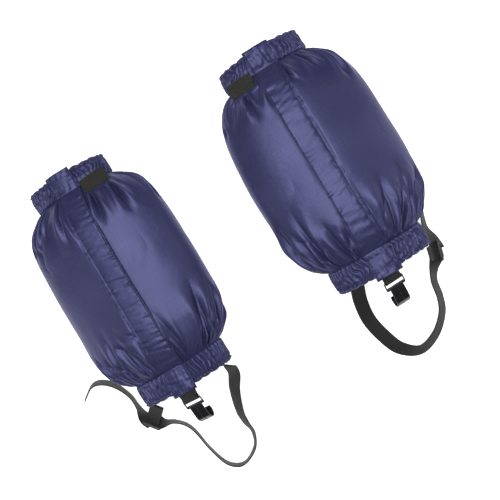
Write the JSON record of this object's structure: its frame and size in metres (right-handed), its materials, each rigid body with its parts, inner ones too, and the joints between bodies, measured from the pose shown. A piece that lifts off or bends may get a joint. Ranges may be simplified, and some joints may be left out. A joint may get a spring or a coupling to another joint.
{
  "type": "pair of gaiters",
  "caption": "Pair of coated nylon walking gaiters with gathered elastic cuffs, front flap with hook-and-loop closure, lace hook and buckled instep strap.",
  "frame": {"origin": "on the floor below the middle of the pair, which lies on its back", "axes": "+X across the pair from the left gaiter to the right one, +Y up the leg towards the top cuffs, +Z out of the gaiters' fronts"},
  "size_m": [0.5661, 0.4758, 0.0972],
  "materials": {
    "cloth": "shiny coated nylon",
    "elastic": "woven elastic",
    "tape": "hook-and-loop tape",
    "webbing": "woven polypropylene",
    "tab": "ribbed webbing",
    "plastic": "moulded acetal",
    "steel": "black nickel plated"
  },
  "bodies": {
    "left_gaiter": {"left_shell": "cloth", "left_top_cuff": "cloth", "left_top_elastic": "elastic", "left_bottom_cuff": "cloth", "left_bottom_elastic": "elastic", "left_loop_tape": "tape", "left_buckle_tab": "webbing", "left_instep_strap": "webbing", "left_strap_tail": "webbing"},
    "left_flap": {"left_front_flap": "cloth", "left_hook_tape": "tape", "left_hook_tab": "webbing"},
    "left_hook": {"left_lace_hook": "steel"},
    "left_cinch": {"left_cinch_tab": "tab"},
    "left_slider": {"left_buckle": "plastic"},
    "right_gaiter": {"right_shell": "cloth", "right_top_cuff": "cloth", "right_top_elastic": "elastic", "right_bottom_cuff": "cloth", "right_bottom_elastic": "elastic", "right_loop_tape": "tape", "right_buckle_tab": "webbing", "right_instep_strap": "webbing", "right_strap_tail": "webbing"},
    "right_flap": {"right_front_flap": "cloth", "right_hook_tape": "tape", "right_hook_tab": "webbing"},
    "right_hook": {"right_lace_hook": "steel"},
    "right_cinch": {"right_cinch_tab": "tab"},
    "right_slider": {"right_buckle": "plastic"}
  },
  "joints": [
    {"name": "pair_slide", "type": "slide", "parent": "left_gaiter", "child": "right_gaiter", "axis": [1, 0, 0], "range_m": [0, 0.2]},
    {"name": "left_flap_open", "type": "hinge", "parent": "left_gaiter", "child": "left_flap", "pos_m": [-0.1663, 0.025, 0.0966], "axis": [0, -1, 0], "range_deg": [0, 140]},
    {"name": "left_hook_swing", "type": "hinge", "parent": "left_flap", "child": "left_hook", "pos_m": [-0.1528, -0.15575, 0.08029], "axis": [0.9553, 0, 0.2955], "range_deg": [-100, 50]},
    {"name": "left_cinch_peel", "type": "hinge", "parent": "left_gaiter", "child": "left_cinch", "pos_m": [-0.1306, 0.16225, 0.0785], "axis": [0, -1, 0], "range_deg": [0, 70]},
    {"name": "left_buckle_tilt", "type": "hinge", "parent": "left_gaiter", "child": "left_slider", "pos_m": [-0.242, -0.169, 0.013], "axis": [0.6216, -0.7833, 0], "range_deg": [-20, 20]},
    {"name": "right_flap_open", "type": "hinge", "parent": "right_gaiter", "child": "right_flap", "pos_m": [0.1663, 0.025, 0.0966], "axis": [0, 1, 0], "range_deg": [0, 140]},
    {"name": "right_hook_swing", "type": "hinge", "parent": "right_flap", "child": "right_hook", "pos_m": [0.1528, -0.15175, 0.08029], "axis": [0.9553, 0, -0.2955], "range_deg": [-100, 50]},
    {"name": "right_cinch_peel", "type": "hinge", "parent": "right_gaiter", "child": "right_cinch", "pos_m": [0.1306, 0.16225, 0.0785], "axis": [0, 1, 0], "range_deg": [0, 70]},
    {"name": "right_buckle_tilt", "type": "hinge", "parent": "right_gaiter", "child": "right_slider", "pos_m": [0.229, -0.159, 0.013], "axis": [0.2482, 0.9687, 0], "range_deg": [-20, 20]}
  ]
}
